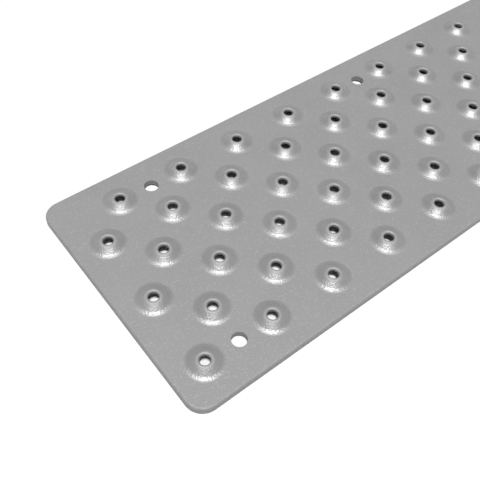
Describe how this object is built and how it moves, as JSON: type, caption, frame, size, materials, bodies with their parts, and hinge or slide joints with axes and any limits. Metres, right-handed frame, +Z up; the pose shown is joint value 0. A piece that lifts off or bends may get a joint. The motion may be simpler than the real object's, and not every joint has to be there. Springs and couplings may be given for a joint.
{
  "type": "stair tread",
  "caption": "Flat metal anti-slip stair tread with its edges turned down a little, staggered rows of raised pierced traction buttons and plain screw holes, in grey powder coat.",
  "frame": {"origin": "on the step, under the middle of the tread's outline", "axes": "+X along the step, +Y from the front edge of the step to its back, +Z up out of the walking face"},
  "size_m": [0.762, 0.0952, 0.0049],
  "materials": {
    "powder_coat": "silver-grey satin powder coat with a fine metal flake"
  },
  "bodies": {
    "root": {"tread_plate": "powder_coat"}
  },
  "joints": []
}
